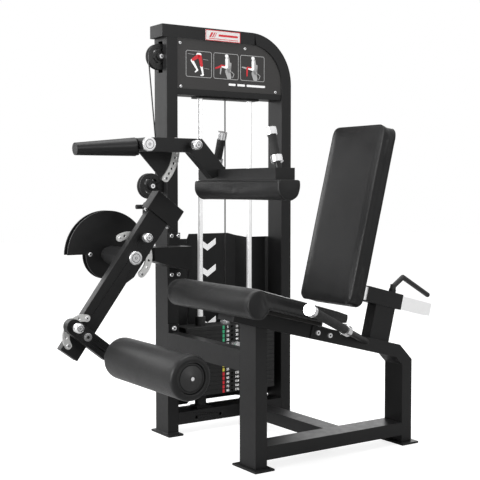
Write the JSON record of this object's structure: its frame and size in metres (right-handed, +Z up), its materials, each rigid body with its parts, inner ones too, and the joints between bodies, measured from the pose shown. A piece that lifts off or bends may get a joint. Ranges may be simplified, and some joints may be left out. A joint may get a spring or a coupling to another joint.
{
  "type": "leg extension machine",
  "caption": "Seated leg extension and leg curl machine with weight stack tower, sloping seat frame, swing lever with foot roller, thigh hold-down pad and sliding backrest.",
  "frame": {"origin": "on the floor, under the middle of the weight stack tower's left upright, at the underside of its foot plate", "axes": "+X along the seat toward the backrest (the user faces -X), +Y from the seat toward the weight stack, +Z up"},
  "size_m": [1.4768, 1.0506, 1.65],
  "materials": {
    "frame_paint": "satin black powder coat",
    "plate_paint": "black enamel on steel plates",
    "chrome_parts": "polished chrome",
    "bearing_steel": "ground",
    "coated_cable": "black nylon coating",
    "black_plastic": "moulded",
    "placard_face": "printed panel",
    "badge_face": "red and white badge",
    "grip_rubber": "matt",
    "pad_vinyl": "black vinyl",
    "plywood": "plain"
  },
  "bodies": {
    "frame": {"left_upright": "frame_paint", "arch_tube": "frame_paint", "tower_cross_members": "frame_paint", "placard_panel": "placard_face", "badge_plate": "badge_face", "rear_shroud": "frame_paint", "foot_plates": "frame_paint", "seat_frame": "frame_paint", "link_beam": "frame_paint", "floor_tubes": "frame_paint", "frame_bolts": "chrome_parts", "guide_rods": "chrome_parts", "cable_run": "coated_cable", "stack_cable": "coated_cable", "pivot_bracket": "frame_paint", "pivot_bearings": "bearing_steel", "thigh_support": "frame_paint", "thigh_index_plate": "chrome_parts", "thigh_shaft": "chrome_parts", "seat_board": "plywood", "seat_pad": "pad_vinyl", "hand_rails": "frame_paint", "hand_rail_grips": "grip_rubber", "hand_rail_rings": "chrome_parts", "back_post": "frame_paint", "rubber_bumpers": "grip_rubber", "resting_plates": "plate_paint"},
    "stack": {"top_plate": "plate_paint", "lifted_plates": "plate_paint", "guide_sleeves": "black_plastic", "selector_stem": "chrome_parts"},
    "selector_pin": {"selector_pin": "chrome_parts"},
    "cam": {"cam": "frame_paint", "cam_bolts": "chrome_parts", "drum_cable": "coated_cable", "pivot_shaft": "chrome_parts", "start_index_plate": "chrome_parts"},
    "lever": {"lever": "frame_paint", "lever_counterweight": "frame_paint", "lever_bolts": "chrome_parts", "roller_index_plate": "chrome_parts"},
    "start_pin": {"start_pop_pin": "chrome_parts"},
    "roller_arm": {"roller_arm": "frame_paint", "roller_axle": "chrome_parts"},
    "roller_pin": {"roller_pop_pin": "chrome_parts"},
    "roller": {"foot_roller": "pad_vinyl", "roller_core": "black_plastic"},
    "thigh_arm": {"thigh_arm": "frame_paint", "thigh_counterweight": "frame_paint", "thigh_pad": "pad_vinyl", "thigh_handle_grips": "grip_rubber", "thigh_handle_rings": "chrome_parts"},
    "thigh_pin": {"thigh_pop_pin": "chrome_parts"},
    "backrest": {"back_slide_tube": "chrome_parts", "back_board": "plywood", "back_pad": "pad_vinyl"},
    "clamp": {"back_clamp_lever": "black_plastic"},
    "pulley_top_left": {"pulley_top_left": "black_plastic"},
    "pulley_top_middle": {"pulley_top_middle": "black_plastic"},
    "pulley_lower": {"pulley_lower": "black_plastic"}
  },
  "joints": [
    {"name": "stack_lift", "type": "slide", "parent": "frame", "child": "stack", "axis": [0, 0, 1], "range_m": [0, 0.11], "deforming": ["stack_cable"]},
    {"name": "cam_turn", "type": "hinge", "parent": "frame", "child": "cam", "pos_m": [-0.27, 0, 0.742], "axis": [0, 1, 0], "range_deg": [0, 75]},
    {"name": "pulley_top_left_spin", "type": "hinge", "parent": "frame", "child": "pulley_top_left", "pos_m": [-0.035, 0, 1.524], "axis": [0, 1, 0], "range_deg": [-145, 0]},
    {"name": "pulley_top_middle_spin", "type": "hinge", "parent": "frame", "child": "pulley_top_middle", "pos_m": [0.238, 0, 1.524], "axis": [0, 1, 0], "range_deg": [-145, 0]},
    {"name": "pulley_lower_spin", "type": "hinge", "parent": "frame", "child": "pulley_lower", "pos_m": [-0.077, 0, 1.009], "axis": [0, 1, 0], "range_deg": [0, 145]},
    {"name": "selector_pin_pull", "type": "slide", "parent": "stack", "child": "selector_pin", "axis": [0, -1, 0], "range_m": [0, 0.062]},
    {"name": "lever_start_adjust", "type": "hinge", "parent": "cam", "child": "lever", "pos_m": [-0.27, 0, 0.742], "axis": [0, 1, 0], "range_deg": [-38, 19]},
    {"name": "start_pin_pull", "type": "slide", "parent": "lever", "child": "start_pin", "axis": [0, -1, 0], "range_m": [0, 0.012], "stiffness_N_per_m": 800},
    {"name": "roller_arm_adjust", "type": "hinge", "parent": "lever", "child": "roller_arm", "pos_m": [-0.48671, 0, 0.47063], "axis": [0, 1, 0], "range_deg": [-40, 40]},
    {"name": "roller_pin_pull", "type": "slide", "parent": "roller_arm", "child": "roller_pin", "axis": [0, -1, 0], "range_m": [0, 0.012], "stiffness_N_per_m": 800},
    {"name": "foot_roller_spin", "type": "hinge", "parent": "roller_arm", "child": "roller", "pos_m": [-0.40039, 0, 0.40246], "axis": [0, 1, 0], "continuous": true},
    {"name": "thigh_arm_adjust", "type": "hinge", "parent": "frame", "child": "thigh_arm", "pos_m": [-0.363, 0, 1.15], "axis": [0, 1, 0], "range_deg": [0, 35]},
    {"name": "thigh_pin_pull", "type": "slide", "parent": "thigh_arm", "child": "thigh_pin", "axis": [0, -1, 0], "range_m": [0, 0.012], "stiffness_N_per_m": 800},
    {"name": "backrest_slide", "type": "slide", "parent": "frame", "child": "backrest", "axis": [0.969, 0, -0.247], "range_m": [-0.1, 0.1]},
    {"name": "clamp_turn", "type": "hinge", "parent": "frame", "child": "clamp", "pos_m": [0.66516, -0.616, 0.60547], "axis": [0.247, 0, 0.969], "range_deg": [-60, 60]}
  ],
  "couplings": [
    {"joint": "cam_turn", "follows": "stack_lift", "rad_per_m": 11.765},
    {"joint": "pulley_top_left_spin", "follows": "stack_lift", "rad_per_m": -22.222},
    {"joint": "pulley_top_middle_spin", "follows": "stack_lift", "rad_per_m": -22.222},
    {"joint": "pulley_lower_spin", "follows": "stack_lift", "rad_per_m": 22.222}
  ]
}
